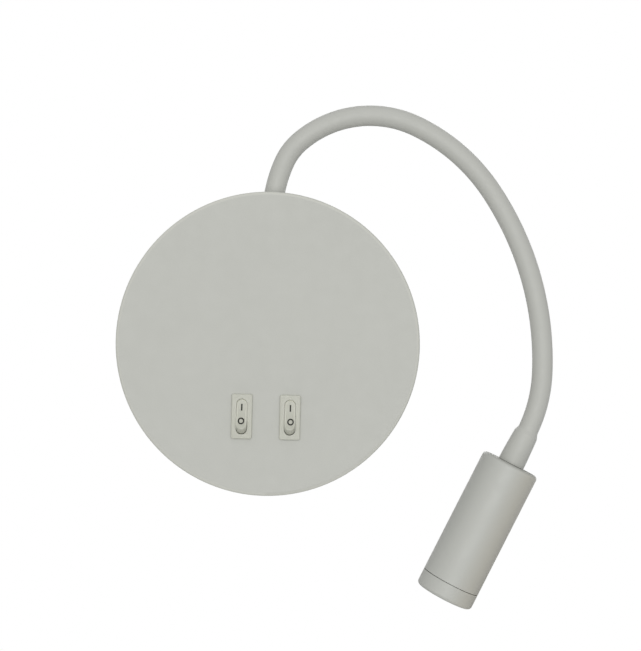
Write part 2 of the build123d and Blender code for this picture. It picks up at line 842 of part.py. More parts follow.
# Gland: an upright collar on the canopy's edge with a threaded nipple inside it
gland_origin = (0, -neck_depth, 0)
gland_axis = Axis(gland_origin, (0, 0, 1))
gland_section = Plane(gland_origin, x_dir=(1, 0, 0), z_dir=(0, -1, 0))
nipple_bottom = canopy_radius - nipple_length
canopy_inside_top = sqrt((canopy_radius - canopy_wall) ** 2 - (gland_washer_diameter / 2) ** 2)
gland_washer_top = canopy_inside_top - thread_clearance
gland_nut_top = gland_washer_top - gland_washer_thickness
gland_bore_radius = coil_radius + thread_clearance
gland_recess_radius = sleeve_radius + thread_clearance

with BuildPart() as neck_gland:
    with BuildSketch(gland_section) as outline:
        with BuildLine():
            Polyline(
                (gland_bore_radius, nipple_bottom),
                (nipple_diameter / 2, nipple_bottom),
                (nipple_diameter / 2, canopy_radius + thread_clearance),
                (gland_diameter / 2, canopy_radius + thread_clearance),
                (gland_diameter / 2, neck_start),
                (gland_recess_radius, neck_start),
                (gland_recess_radius, neck_start - gland_recess),
                (gland_bore_radius, neck_start - gland_recess),
                close=True,
            )
        make_face()
        fillet(corner_of(outline, gland_diameter / 2, neck_start), radius=gland_edge_radius)
    revolve(axis=gland_axis)
write_part(neck_gland, "neck_gland")

with BuildPart() as gland_washer:
    with BuildSketch(Plane.XY.offset(gland_washer_top)):
        with Locations((0, -neck_depth)):
            Circle(gland_washer_diameter / 2)
            Circle(nipple_diameter / 2 + thread_clearance, mode=Mode.SUBTRACT)
    extrude(amount=-gland_washer_thickness)
write_part(gland_washer, "gland_washer")

with BuildPart() as gland_nut:
    with BuildSketch(Plane.XY.offset(gland_nut_top)):
        with Locations((0, -neck_depth)):
            RegularPolygon(gland_nut_flats / 2, 6, major_radius=False)
            Circle(nipple_diameter / 2 + thread_clearance, mode=Mode.SUBTRACT)
    extrude(amount=-gland_nut_height)
write_part(gland_nut, "gland_nut")

# Coil: one length in the gland, one for each piece of the neck, one in the head's ferrule
with BuildPart() as neck_coil_base:
    with BuildSketch(Plane.XY.offset(nipple_bottom)):
        with Locations((0, -neck_depth)):
            Circle(coil_radius)
            Circle(coil_bore_radius, mode=Mode.SUBTRACT)
    extrude(amount=neck_start - coil_gap - nipple_bottom)
write_part(neck_coil_base, "neck_coil_base")


def make_coil(number, piece):
    """Write the coil of one neck piece, short of the hinge at each end."""
    radius, turn = piece[3:]
    gap_turn = degrees(coil_gap / radius)
    x, z, heading = along_piece(piece, gap_turn)
    tangent = (cos(radians(heading)), sin(radians(heading)))
    with BuildPart() as neck_coil:
        with BuildLine(neck_plane) as coil_line:
            JernArc((x, z), tangent, radius, 2 * gap_turn - turn)
        with BuildSketch(across_neck(x, z, heading)):
            Circle(coil_radius)
            Circle(coil_bore_radius, mode=Mode.SUBTRACT)
        sweep(path=coil_line.line)
    write_part(neck_coil, f"neck_coil_{number:02d}")


for coil_number, neck_piece in enumerate(pieces, start=1):
    make_coil(coil_number, neck_piece)

# Ferrule in the head's end wall, under the sleeve's swollen end
flare_knee_radius = flare_knee_diameter / 2
flare_end_radius = flare_end_diameter / 2
ferrule_tip = -flare_knee_length
ferrule_tip_radius = flare_knee_radius - sleeve_wall - thread_clearance
ferrule_end_radius = flare_end_radius - sleeve_wall - thread_clearance
ferrule_bore_end = ferrule_tip + ferrule_coil_length
cable_bore_radius = cable_diameter / 2 + hole_clearance

with BuildPart() as head_ferrule:
    with BuildSketch(head_section):
        with BuildLine():
            Polyline(
                (gland_bore_radius, ferrule_tip),
                (ferrule_tip_radius, ferrule_tip),
                (ferrule_end_radius, 0),
                (nipple_diameter / 2, 0),
                (nipple_diameter / 2, ferrule_nipple_length),
                (cable_bore_radius, ferrule_nipple_length),
                (cable_bore_radius, ferrule_bore_end),
                (gland_bore_radius, ferrule_bore_end),
                close=True,
            )
        make_face()
    revolve(axis=head_axis)
write_part(head_ferrule, "head_ferrule")

with BuildPart() as neck_coil_head:
    with BuildSketch(head_plane_at(coil_gap - neck_end_length)):
        Circle(coil_radius)
        Circle(coil_bore_radius, mode=Mode.SUBTRACT)
    extrude(amount=neck_end_length - coil_gap + ferrule_bore_end)
write_part(neck_coil_head, "neck_coil_head")

with BuildPart() as head_nut:
    with BuildSketch(head_plane_at(head_end_wall)):
        RegularPolygon(head_nut_flats / 2, 6, major_radius=False)
        Circle(nipple_diameter / 2 + thread_clearance, mode=Mode.SUBTRACT)
    extrude(amount=head_nut_height)
write_part(head_nut, "head_nut")

# Sleeve: one smooth tube from the gland to the head, swollen over the ferrule
sleeve_bottom = neck_start - gland_recess + thread_clearance
flare_turn = degrees((flare_start_length - neck_end_length) / tuck_bend_radius)
flare_start = across_neck(*along_piece(pieces[-1], pieces[-1][4] - flare_turn))
flare_knee = head_plane_at(-flare_knee_length)
flare_end = head_plane_at(-flare_seam)

with BuildPart() as neck_sleeve:
    with BuildLine(neck_plane) as sleeve_line:
        Line((0, sleeve_bottom), (0, neck_start))
        for x, z, heading, radius, turn in pieces[:-1]:
            JernArc((x, z), (cos(radians(heading)), sin(radians(heading))), radius, -turn)
        x, z, heading, radius, turn = pieces[-1]
        JernArc((x, z), (cos(radians(heading)), sin(radians(heading))), radius, flare_turn - turn)
    with BuildSketch(Plane((0, -neck_depth, sleeve_bottom), x_dir=(1, 0, 0), z_dir=(0, 0, 1))):
        Circle(sleeve_radius)
        Circle(sleeve_bore_radius, mode=Mode.SUBTRACT)
    sweep(path=sleeve_line.line)
    with BuildSketch(flare_start):
        Circle(sleeve_radius)
    with BuildSketch(flare_knee):
        Circle(flare_knee_radius)
    with BuildSketch(flare_end):
        Circle(flare_end_radius)
    loft(ruled=True)
    with BuildSketch(flare_start):
        Circle(sleeve_bore_radius)
    with BuildSketch(flare_knee):
        Circle(flare_knee_radius - sleeve_wall)
    with BuildSketch(flare_end):
        Circle(flare_end_radius - sleeve_wall)
    loft(ruled=True, mode=Mode.SUBTRACT)
write_part(neck_sleeve, "neck_sleeve")

# Cable: from the driver, through the coil, into the head's heat sink
driver_top = driver_middle_z + driver_height / 2
gasket_front = head_length - head_wall - ring_opening_chamfer
holder_front = gasket_front - gasket_section - gasket_clearance
sink_front = holder_front - holder_length
sink_back = sink_front - sink_length
cable_end = sink_front - plate_thickness

with BuildPart() as neck_cable:
    with BuildLine(neck_plane) as cable_line:
        Line((0, driver_top), (0, neck_start))
        for x, z, heading, radius, turn in pieces:
            JernArc((x, z), (cos(radians(heading)), sin(radians(heading))), radius, -turn)
        Line(
            (end_x, end_z),
            (
                end_x + (neck_end_length + cable_end) * cos(radians(end_heading)),
                end_z + (neck_end_length + cable_end) * sin(radians(end_heading)),
            ),
        )
    with BuildSketch(Plane((0, -neck_depth, driver_top), x_dir=(1, 0, 0), z_dir=(0, 0, 1))):
        Circle(cable_diameter / 2)
    sweep(path=cable_line.line)
write_part(neck_cable, "neck_cable")

# Head barrel: a turned cup, open at the front
barrel_end = head_length - ring_length - ring_seam
barrel_bore_radius = head_radius - head_wall

with BuildPart() as head_barrel:
    with BuildSketch(head_section) as outline:
        with BuildLine():
            Polyline(
                (nipple_diameter / 2 + thread_clearance, 0),
                (head_radius, 0),
                (head_radius, barrel_end),
                (barrel_bore_radius, barrel_end),
                (barrel_bore_radius, head_end_wall),
                (nipple_diameter / 2 + thread_clearance, head_end_wall),
                close=True,
            )
        make_face()
        fillet(corner_of(outline, head_radius, 0), radius=head_edge_radius)
    revolve(axis=head_axis)
write_part(head_barrel, "head_barrel")

# Front ring: screws into the barrel and holds the lens
spigot_radius = barrel_bore_radius - thread_clearance
spigot_back = barrel_end - ring_spigot_length
ring_back = head_length - ring_length
opening_radius = ring_opening_diameter / 2

with BuildPart() as front_ring:
    with BuildSketch(head_section) as outline:
        with BuildLine():
            Polyline(
                (spigot_radius - ring_spigot_wall, spigot_back),
                (spigot_radius, spigot_back),
                (spigot_radius, ring_back),
                (head_radius, ring_back),
                (head_radius, head_length),
                (opening_radius + ring_opening_chamfer, head_length),
                (opening_radius, head_length - ring_opening_chamfer),
                (opening_radius, gasket_front),
                (spigot_radius - ring_spigot_wall, gasket_front),
                close=True,
            )
        make_face()
        fillet(corner_of(outline, head_radius, head_length), radius=ring_edge_radius)
    revolve(axis=head_axis)
write_part(front_ring, "front_ring")

# Heat sink: a grooved slug in the barrel
sink_radius = barrel_bore_radius - sink_clearance
fin_pitch = sink_length / (sink_fin_count + 1)

with BuildPart() as heat_sink:
    with BuildSketch(head_plane_at(sink_back)):
        Circle(sink_radius)
        Circle(sink_bore_diameter / 2, mode=Mode.SUBTRACT)
    extrude(amount=sink_length)
    for fin_number in range(1, sink_fin_count + 1):
        with BuildSketch(head_plane_at(sink_back + fin_number * fin_pitch - sink_fin_width / 2)):
            Circle(sink_radius + cut_overrun)
            Circle(sink_radius - sink_fin_depth, mode=Mode.SUBTRACT)
        extrude(amount=sink_fin_width, mode=Mode.SUBTRACT)
write_part(heat_sink, "heat_sink")

# Light source: board, chip, holder and lens
spot_board_front = sink_front + spot_board_thickness
holder_radius = holder_diameter / 2
holder_bore_radius = holder_radius - holder_wall
lens_front = holder_front - holder_wall
lens_back = spot_board_front + holder_floor + thread_clearance
flange_back = lens_front - lens_flange_height

with BuildPart() as spot_board:
    with BuildSketch(head_plane_at(sink_front)):
        Circle(spot_board_diameter / 2)
    extrude(amount=spot_board_thickness)
write_part(spot_board, "spot_board")

with BuildPart() as spot_led:
    with BuildSketch(head_plane_at(spot_board_front)):
        Rectangle(spot_led_side, spot_led_side)
    extrude(amount=spot_led_height)
    with BuildSketch(head_section):
        with BuildLine():
            Line((0, spot_board_front), (spot_dome_diameter / 2, spot_board_front))
            Line(
                (spot_dome_diameter / 2, spot_board_front),
                (spot_dome_diameter / 2, spot_board_front + spot_led_height),
            )
            ThreePointArc(
                (spot_dome_diameter / 2, spot_board_front + spot_led_height),
                (
                    spot_dome_diameter / 2 * cos(pi / 4),
                    spot_board_front + spot_led_height + spot_dome_diameter / 2 * sin(pi / 4),
                ),
                (0, spot_board_front + spot_led_height + spot_dome_diameter / 2),
            )
            Line(
                (0, spot_board_front + spot_led_height + spot_dome_diameter / 2),
                (0, spot_board_front),
            )
        make_face()
    revolve(axis=head_axis)
write_part(spot_led, "spot_led")

with BuildPart() as lens_holder:
    with BuildSketch(head_section):
        with BuildLine():
            Polyline(
                (spot_board_diameter / 2 + thread_clearance, sink_front),
                (holder_radius, sink_front),
                (holder_radius, holder_front),
                (holder_bore_radius, holder_front),
                (holder_bore_radius, flange_back - thread_clearance),
                (holder_bore_radius - holder_wall, flange_back - thread_clearance),
                (holder_bore_radius - holder_wall, spot_board_front + holder_floor),
                (lens_well_diameter / 2 + holder_wall, spot_board_front + holder_floor),
                (lens_well_diameter / 2 + holder_wall, spot_board_front + thread_clearance),
                (spot_board_diameter / 2 + thread_clearance, spot_board_front + thread_clearance),
                close=True,
            )
        make_face()
    revolve(axis=head_axis)
write_part(lens_holder, "lens_holder")

with BuildPart() as spot_lens:
    with BuildSketch(head_section):
        with BuildLine():
            Polyline(
                (0, lens_back + lens_well_depth),
                (lens_well_diameter / 2, lens_back + lens_well_depth),
                (lens_well_diameter / 2, lens_back),
                (lens_small_diameter / 2, lens_back),
            )
            ThreePointArc(
                (lens_small_diameter / 2, lens_back),
                (
                    (lens_small_diameter + lens_large_diameter) / 4 + holder_wall - thread_clearance,
                    (lens_back + flange_back) / 2,
                ),
                (lens_large_diameter / 2 - holder_wall, flange_back),
            )
            Polyline(
                (lens_large_diameter / 2 - holder_wall, flange_back),
                (lens_large_diameter / 2, flange_back),
                (lens_large_diameter / 2, lens_front),
                (0, lens_front),
                (0, lens_back + lens_well_depth),
            )
        make_face()
    revolve(axis=head_axis)
write_part(spot_lens, "spot_lens")

with BuildPart() as lens_gasket:
    with BuildSketch(head_section):
        with Locations((holder_radius - gasket_section / 2, holder_front + gasket_section / 2)):
            Rectangle(gasket_section, gasket_section)
    revolve(axis=head_axis)
write_part(lens_gasket, "lens_gasket")

# Leads: from the terminal block to the driver, and from each switch's terminals to the driver
driver_bottom = driver_middle_z - driver_height / 2
solder_depth = body_back - terminal_length
block_lead_start = block_height / 2 - lead_insertion
lead_depth = driver_back + lead_diameter
lead_bend_step = block_driver_gap / 3

with BuildPart() as driver_leads:
    for way_side in (-1, 1):
        with BuildLine() as lead_line:
            Polyline(
                (way_side * block_pitch, -block_bore_depth, block_lead_start),
                (way_side * block_pitch, -block_bore_depth, driver_bottom - 2 * lead_bend_step),
                (way_side * block_pitch, -lead_depth, driver_bottom - lead_bend_step),
                (way_side * block_pitch, -lead_depth, driver_bottom),
            )
        with BuildSketch(Plane((way_side * block_pitch, -block_bore_depth, block_lead_start))):
            Circle(lead_diameter / 2)
        sweep(path=lead_line.line, transition=Transition.RIGHT)
write_part(driver_leads, "driver_leads")

switch_lead_routes = [
    (switch_x, side * (lead_side_x + shift), terminal_z)
    for (switch_x, _), side in zip(switch_points, (-1, 1))
    for terminal_z, shift in ((-switch_drop, 0), (-switch_drop - pad_drop, lead_pitch))
]

with BuildPart() as switch_leads:
    for switch_x, outer_x, terminal_z in switch_lead_routes:
        with BuildLine() as lead_line:
            FilletPolyline(
                (switch_x, -solder_depth, terminal_z),
                (switch_x, -lead_depth, terminal_z),
                (outer_x, -lead_depth, terminal_z / 2),
                (outer_x, -lead_depth, driver_bottom),
                radius=[lead_bend_radius, 2 * lead_bend_radius],
            )
        with BuildSketch(Plane((switch_x, -solder_depth, terminal_z), z_dir=(0, 1, 0))):
            Circle(lead_diameter / 2)
        sweep(path=lead_line.line)
write_part(switch_leads, "switch_leads")
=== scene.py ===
import bmesh
import bpy
import json
from math import cos, pi, radians, sin
from mathutils import Matrix, Vector
from mathutils.bvhtree import BVHTree


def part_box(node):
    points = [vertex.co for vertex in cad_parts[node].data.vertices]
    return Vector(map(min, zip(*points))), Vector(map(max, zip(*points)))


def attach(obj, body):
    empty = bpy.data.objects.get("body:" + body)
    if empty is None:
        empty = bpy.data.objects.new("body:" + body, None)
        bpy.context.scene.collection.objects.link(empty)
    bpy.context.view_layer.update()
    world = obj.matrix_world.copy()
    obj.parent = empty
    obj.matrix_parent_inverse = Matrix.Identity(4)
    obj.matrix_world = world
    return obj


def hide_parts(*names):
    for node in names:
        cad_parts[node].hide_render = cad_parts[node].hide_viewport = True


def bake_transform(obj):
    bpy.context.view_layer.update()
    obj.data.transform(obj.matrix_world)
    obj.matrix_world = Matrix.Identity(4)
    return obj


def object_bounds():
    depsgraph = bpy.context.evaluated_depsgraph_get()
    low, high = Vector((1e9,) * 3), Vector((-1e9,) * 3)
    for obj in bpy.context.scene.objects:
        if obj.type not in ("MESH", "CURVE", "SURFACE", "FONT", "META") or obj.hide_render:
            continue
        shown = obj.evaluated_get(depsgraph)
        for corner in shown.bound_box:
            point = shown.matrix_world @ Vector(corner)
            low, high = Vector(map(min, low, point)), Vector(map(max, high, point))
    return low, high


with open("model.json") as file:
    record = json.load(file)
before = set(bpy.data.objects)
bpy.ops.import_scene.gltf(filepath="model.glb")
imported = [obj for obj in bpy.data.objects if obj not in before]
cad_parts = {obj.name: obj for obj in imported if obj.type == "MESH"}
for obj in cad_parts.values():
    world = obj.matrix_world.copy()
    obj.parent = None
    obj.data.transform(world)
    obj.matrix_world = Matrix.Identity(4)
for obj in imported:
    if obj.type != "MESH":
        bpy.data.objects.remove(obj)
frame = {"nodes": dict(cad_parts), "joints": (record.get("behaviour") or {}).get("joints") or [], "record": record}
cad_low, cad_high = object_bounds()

# Gooseneck wall lamp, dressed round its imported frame. Metres, +Z up, the wall is Y = 0.
MM = 0.001
nodes = frame["nodes"]
joints = frame["joints"]
joint_places = {joint["name"]: Vector(joint["pos_m"]) for joint in joints}
sides = ("left", "right")
across = Vector((1, 0, 0))
up = Vector((0, 0, 1))
towards_room = Vector((0, -1, 0))
towards_wall = Vector((0, 1, 0))


# Neck line: it leaves each hinge on an arc that starts along the last arc's end
neck_joints = [joint for joint in joints if joint["name"].startswith("neck_")]
neck_bodies = ["lamp_body"] + [joint["child"] for joint in neck_joints]
hinges = [joint_places[joint["name"]] for joint in neck_joints]
straight_turn = 1e-6


def side_of(direction):
    """The direction's right-hand side as seen from the room."""
    return Vector((direction.z, 0, -direction.x))


def arc_point(start, direction, end, share):
    """Place and direction at a share of the arc that leaves start along a direction and meets end."""
    chord = (end - start).normalized()
    turn = 2 * direction.angle(chord, 0.0)
    if side_of(direction).dot(chord) < 0:
        turn = -turn
    now = turn * share
    here = (Matrix.Rotation(now, 3, "Y") @ direction).normalized()
    if abs(turn) < straight_turn:
        return start.lerp(end, share), here
    radius = (end - start).length / (2 * sin(turn / 2))
    return start + radius * (sin(now) * direction + (1 - cos(now)) * side_of(direction)), here


def arc_length(start, direction, end):
    """Length of that arc."""
    chord = end - start
    turn = direction.angle(chord.normalized(), 0.0)
    return chord.length * (turn / sin(turn) if turn > straight_turn else 1.0)


# The line's direction at each hinge, the length of each arc and how far along the line each hinge is
directions = [up.copy()]
for first, second in zip(hinges, hinges[1:]):
    directions.append(arc_point(first, directions[-1], second, 1.0)[1])
lengths = [arc_length(*values) for values in zip(hinges, directions, hinges[1:])]
reaches = [0.0]
for length in lengths:
    reaches.append(reaches[-1] + length)
head_direction = directions[-1]


def past_last_hinge(node_name):
    """How far each point of a node lies past the last hinge, along the head."""
    return [(vertex.co - hinges[-1]).dot(head_direction) for vertex in nodes[node_name].data.vertices]


def neck_point(distance):
    """Place and direction on the neck's line, a distance past the first hinge or, below zero, under it."""
    if distance <= 0.0:
        return hinges[0] + distance * up, up
    if distance >= reaches[-1]:
        return hinges[-1] + (distance - reaches[-1]) * head_direction, head_direction
    number = max(index for index, reach in enumerate(reaches) if reach <= distance)
    share = (distance - reaches[number]) / lengths[number]
    return arc_point(hinges[number], directions[number], hinges[number + 1], share)


head_start = min(past_last_hinge("head_barrel"))
neck_length = reaches[-1] + head_start


# Materials: helpers that add nodes to one tree
even = (1.0, 1.0, 1.0)
speck_start = 0.45
speck_end = 0.8


def surface(name, colour, roughness, metallic=0.0, specular=0.5):
    """A new material with one shader, whose even values are set on its sockets."""
    material = bpy.data.materials.new(name)
    material.use_nodes = True
    shader = material.node_tree.nodes["Principled BSDF"]
    shader.inputs["Base Color"].default_value = (*colour, 1.0)
    shader.inputs["Roughness"].default_value = roughness
    shader.inputs["Metallic"].default_value = metallic
    shader.inputs["Specular IOR Level"].default_value = specular
    return material, material.node_tree, shader


def light_inside(shader, share, reach):
    """Let a share of the light spread inside the surface, about as far as a reach in metres."""
    shader.inputs["Subsurface Weight"].default_value = share
    shader.inputs["Subsurface Radius"].default_value = even
    shader.inputs["Subsurface Scale"].default_value = reach


def noise(tree, size, detail=2.0, stretch=even):
    """Noise in patches about one size across, drawn out along an axis whose stretch is below one."""
    coordinates = tree.nodes.new("ShaderNodeTexCoord")
    mapping = tree.nodes.new("ShaderNodeMapping")
    mapping.inputs["Scale"].default_value = stretch
    tree.links.new(coordinates.outputs["Object"], mapping.inputs["Vector"])
    texture = tree.nodes.new("ShaderNodeTexNoise")
    texture.inputs["Scale"].default_value = 1.0 / size
    texture.inputs["Detail"].default_value = detail
    tree.links.new(mapping.outputs["Vector"], texture.inputs["Vector"])
    return texture.outputs["Fac"]


def spread(tree, value, low, high, start=0.3, end=0.7):
    """A value from start to end, turned into one from low to high."""
    node = tree.nodes.new("ShaderNodeMapRange")
    node.inputs["From Min"].default_value = start
    node.inputs["From Max"].default_value = end
    node.inputs["To Min"].default_value = low
    node.inputs["To Max"].default_value = high
    tree.links.new(value, node.inputs["Value"])
    return node.outputs["Result"]


def rising(tree, value, start, end):
    """None up to start, one from end on."""
    return spread(tree, value, 0.0, 1.0, start, end)


def falling(tree, value, start, end):
    """One up to start, none from end on."""
    return spread(tree, value, 1.0, 0.0, start, end)


def blend_colours(tree, factor, first, second):
    """Mix of two colours, or of a socket and a colour, by a factor."""
    node = tree.nodes.new("ShaderNodeMix")
    node.data_type = "RGBA"
    tree.links.new(factor, node.inputs["Factor"])
    for socket, colour in ((node.inputs["A"], first), (node.inputs["B"], second)):
        if isinstance(colour, bpy.types.NodeSocket):
            tree.links.new(colour, socket)
        else:
            socket.default_value = (*colour, 1.0)
    return node.outputs["Result"]


def shaded(colour, share):
    """A colour made lighter or darker by a share."""
    return tuple(min(1.0, part * (1.0 + share)) for part in colour)


def cloudy(tree, colour, size, darker, lighter, detail=2.0):
    """A colour in clouds about one size across, which go darker and lighter by these shares."""
    return blend_colours(tree, noise(tree, size, detail), shaded(colour, -darker), shaded(colour, lighter))


def specked(tree, below, colour, size, strength, darker):
    """Fine specks over what lies below, darker than a colour by a share."""
    specks = spread(tree, noise(tree, size, detail=1.0), 0.0, strength, speck_start, speck_end)
    return blend_colours(tree, specks, below, shaded(colour, -darker))


def uneven_gloss(tree, shader, texture, low, high):
    """Roughness that follows a texture from low to high."""
    tree.links.new(spread(tree, texture, low, high), shader.inputs["Roughness"])


def bump(tree, shader, height, depth, below=None):
    """Bump of a real depth in metres, laid over an earlier bump if one is given."""
    node = tree.nodes.new("ShaderNodeBump")
    node.inputs["Strength"].default_value = 1.0
    node.inputs["Distance"].default_value = depth
    tree.links.new(height, node.inputs["Height"])
    if below is not None:
        tree.links.new(below, node.inputs["Normal"])
    tree.links.new(node.outputs["Normal"], shader.inputs["Normal"])
    return node.outputs["Normal"]


def maths(tree, operation, *values):
    """One math node, fed by sockets or numbers."""
    node = tree.nodes.new("ShaderNodeMath")
    node.operation = operation
    for socket, value in zip(node.inputs, values):
        if isinstance(value, bpy.types.NodeSocket):
            tree.links.new(value, socket)
        else:
            socket.default_value = value
    return node.outputs[0]


def offset_along(tree, direction, middle=(0.0, 0.0, 0.0)):
    """Distance in metres from a middle along a direction."""
    coordinates = tree.nodes.new("ShaderNodeTexCoord")
    node = tree.nodes.new("ShaderNodeVectorMath")
    node.operation = "DOT_PRODUCT"
    tree.links.new(coordinates.outputs["Object"], node.inputs[0])
    node.inputs[1].default_value = direction
    return maths(tree, "SUBTRACT", node.outputs["Value"], direction.dot(Vector(middle)))


def hypotenuse(tree, first, second):
    """Length of two offsets taken together."""
    squares = [maths(tree, "POWER", offset, 2.0) for offset in (first, second)]
    return maths(tree, "SQRT", maths(tree, "ADD", *squares))


def with_painted_light(material, factor_in, colour, specular=None):
    """Lay painted light or shade, as another tone, over a finish where a factor made in its tree says, and another
    shine if given.
    """
    tree = material.node_tree
    shader = tree.nodes["Principled BSDF"]
    factor = factor_in(tree)
    below = shader.inputs["Base Color"].links[0].from_socket
    tree.links.new(blend_colours(tree, factor, below, colour), shader.inputs["Base Color"])
    if specular is not None:
        shine = shader.inputs["Specular IOR Level"]
        tree.links.new(spread(tree, factor, shine.default_value, specular, start=0.0, end=1.0), shine)
    return material


# Materials: a function for each kind of finish

def powder_paint(name, colour):
    """Matt powder paint: faint clouds, fine specks and an orange peel."""
    material, tree, shader = surface(name, colour, roughness=0.62, specular=0.35)
    clouds = cloudy(tree, colour, size=38 * MM, darker=0.022, lighter=0.022, detail=3.0)
    specks = specked(tree, clouds, colour, size=0.45 * MM, strength=0.16, darker=0.12)
    tree.links.new(specks, shader.inputs["Base Color"])
    uneven_gloss(tree, shader, noise(tree, size=6 * MM), low=0.56, high=0.68)
    peel = bump(tree, shader, noise(tree, size=0.7 * MM), depth=0.022 * MM)
    bump(tree, shader, noise(tree, size=0.16 * MM, detail=1.0), depth=0.006 * MM, below=peel)
    return material


def satin_paint(name, colour, warm_reflection, warm_reflection_in):
    """Satin paint on turned aluminium, with a painted warm reflection where a factor made in its tree says."""
    material, tree, shader = surface(name, colour, roughness=0.46, specular=0.42)
    clouds = cloudy(tree, colour, size=24 * MM, darker=0.015, lighter=0.015)
    with_warm_reflection = blend_colours(tree, warm_reflection_in(tree), clouds, warm_reflection)
    specks = specked(tree, with_warm_reflection, colour, size=0.3 * MM, strength=0.12, darker=0.1)
    tree.links.new(specks, shader.inputs["Base Color"])
    uneven_gloss(tree, shader, noise(tree, size=4 * MM), low=0.42, high=0.52)
    bump(tree, shader, noise(tree, size=0.35 * MM), depth=0.008 * MM)
    return material


def silicone(name, colour):
    """Smooth matt silicone: even colour with faint dust and long soft waves."""
    material, tree, shader = surface(name, colour, roughness=0.55, specular=0.4)
    dust = cloudy(tree, colour, size=16 * MM, darker=0.03, lighter=0.02, detail=3.0)
    tree.links.new(dust, shader.inputs["Base Color"])
    shader.inputs["Sheen Weight"].default_value = 0.12
    shader.inputs["Sheen Roughness"].default_value = 0.6
    uneven_gloss(tree, shader, noise(tree, size=3 * MM), low=0.5, high=0.62)
    waves = bump(tree, shader, noise(tree, size=7 * MM, detail=1.0), depth=0.05 * MM)
    bump(tree, shader, noise(tree, size=0.25 * MM, detail=1.0), depth=0.005 * MM, below=waves)
    return material


def moulded(name, colour, roughness, grain=0.3 * MM, depth=0.006 * MM, specular=0.45, milky=0.0):
    """Moulded plastic: eroded grain, faint flow marks, uneven gloss and, if milky, light inside."""
    material, tree, shader = surface(name, colour, roughness, specular=specular)
    light_inside(shader, share=milky, reach=0.7 * MM)
    flow_marks = cloudy(tree, colour, size=5 * MM, darker=0.035, lighter=0.025, detail=3.0)
    tree.links.new(flow_marks, shader.inputs["Base Color"])
    uneven_gloss(tree, shader, noise(tree, size=1.5 * MM), low=roughness - 0.05, high=roughness + 0.06)
    bump(tree, shader, noise(tree, grain), depth)
    return material


def metal(name, colour, dull, roughness, grain=0.2 * MM, stretch=even):
    """Metal with brushed or stamped grain and dull patches."""
    material, tree, shader = surface(name, colour, roughness, metallic=1.0)
    bloom = spread(tree, noise(tree, size=4 * MM, detail=4.0), low=0.0, high=1.0)
    tree.links.new(blend_colours(tree, bloom, shaded(colour, 0.04), dull), shader.inputs["Base Color"])
    brushed = noise(tree, grain, detail=3.0, stretch=stretch)
    uneven_gloss(tree, shader, brushed, low=roughness - 0.08, high=roughness + 0.1)
    bump(tree, shader, brushed, depth=0.004 * MM)
    return material


def opal_acrylic(name, colour):
    """Opal acrylic: milky, with light passing a little way in."""
    material, tree, shader = surface(name, colour, roughness=0.35)
    light_inside(shader, share=0.35, reach=2 * MM)
    tree.links.new(cloudy(tree, colour, size=9 * MM, darker=0.02, lighter=0.02), shader.inputs["Base Color"])
    uneven_gloss(tree, shader, noise(tree, size=2 * MM), low=0.3, high=0.42)
    bump(tree, shader, noise(tree, size=0.4 * MM, detail=1.0), depth=0.004 * MM)
    return material


def clear_acrylic(name, colour):
    """Clear acrylic with faint moulding swirls."""
    material, tree, shader = surface(name, colour, roughness=0.06)
    shader.inputs["Transmission Weight"].default_value = 0.92
    shader.inputs["IOR"].default_value = 1.49
    uneven_gloss(tree, shader, noise(tree, size=1.2 * MM), low=0.03, high=0.12)
    bump(tree, shader, noise(tree, size=2.5 * MM, detail=1.0), depth=0.01 * MM)
    return material


def solder_mask(name, colour):
    """White board with faint copper tracks under the mask."""
    material, tree, shader = surface(name, colour, roughness=0.4)
    tracks = rising(tree, noise(tree, size=2.4 * MM, detail=0.0), start=0.49, end=0.51)
    tree.links.new(blend_colours(tree, tracks, colour, shaded(colour, -0.06)), shader.inputs["Base Color"])
    bump(tree, shader, tracks, depth=0.03 * MM)
    return material


# Colours, as linear red, green and blue
cover_grey = (0.520, 0.526, 0.488)
# Paler grey laid on the cover's rounded edge as painted light
cover_edge_painted_light = (0.720, 0.724, 0.655)
frame_cream = (0.515, 0.520, 0.454)
rocker_cream = (0.492, 0.496, 0.428)
# Paler cream laid on rocker edges and opening walls as painted light
rocker_edge_painted_light = (0.800, 0.802, 0.715)
sleeve_grey = (0.500, 0.505, 0.470)
head_grey = (0.488, 0.495, 0.462)
# Warmer grey laid on the head's right flank as a painted warm reflection
head_painted_warm_reflection = (0.497, 0.487, 0.434)
# Darker grey laid on the head's upper end as painted shade
head_end_painted_shade = (0.385, 0.390, 0.360)
zinc = (0.50, 0.505, 0.50)
dull_zinc = (0.40, 0.41, 0.415)
nickel = (0.50, 0.487, 0.458)
dull_nickel = (0.39, 0.378, 0.352)
brass = (0.62, 0.48, 0.24)
dull_brass = (0.48, 0.36, 0.16)
# Near-black brass for the ferrule, painted shade for the seam over the head
seam_shade_brass = (0.16, 0.13, 0.08)
dull_seam_shade_brass = (0.10, 0.08, 0.05)
spring_brass = (0.64, 0.52, 0.29)
dull_spring_brass = (0.52, 0.40, 0.20)
steel = (0.42, 0.42, 0.42)
dull_steel = (0.32, 0.32, 0.33)
aluminium = (0.62, 0.63, 0.64)
dull_aluminium = (0.53, 0.54, 0.55)
block_white = (0.78, 0.78, 0.75)
driver_white = (0.74, 0.74, 0.72)
board_white = (0.84, 0.85, 0.83)
holder_white = (0.72, 0.72, 0.70)
opal_white = (0.82, 0.83, 0.82)
clear_white = (0.97, 0.98, 0.98)
led_yellow = (0.86, 0.70, 0.22)
rubber_black = (0.03, 0.03, 0.03)
cable_grey = (0.62, 0.62, 0.60)
wire_brown = (0.17, 0.075, 0.035)
wire_blue = (0.035, 0.10, 0.30)
ink_black = (0.022, 0.022, 0.018)
floor_white = (0.86, 0.86, 0.85)
floor_bright_white = (0.88, 0.88, 0.87)


# Cover: painted light, a paler tone on its rounded edge, which turns away from the light and would render darker
cover_low, cover_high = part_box("front_cover")
cover_edge_radius = 1.8 * MM


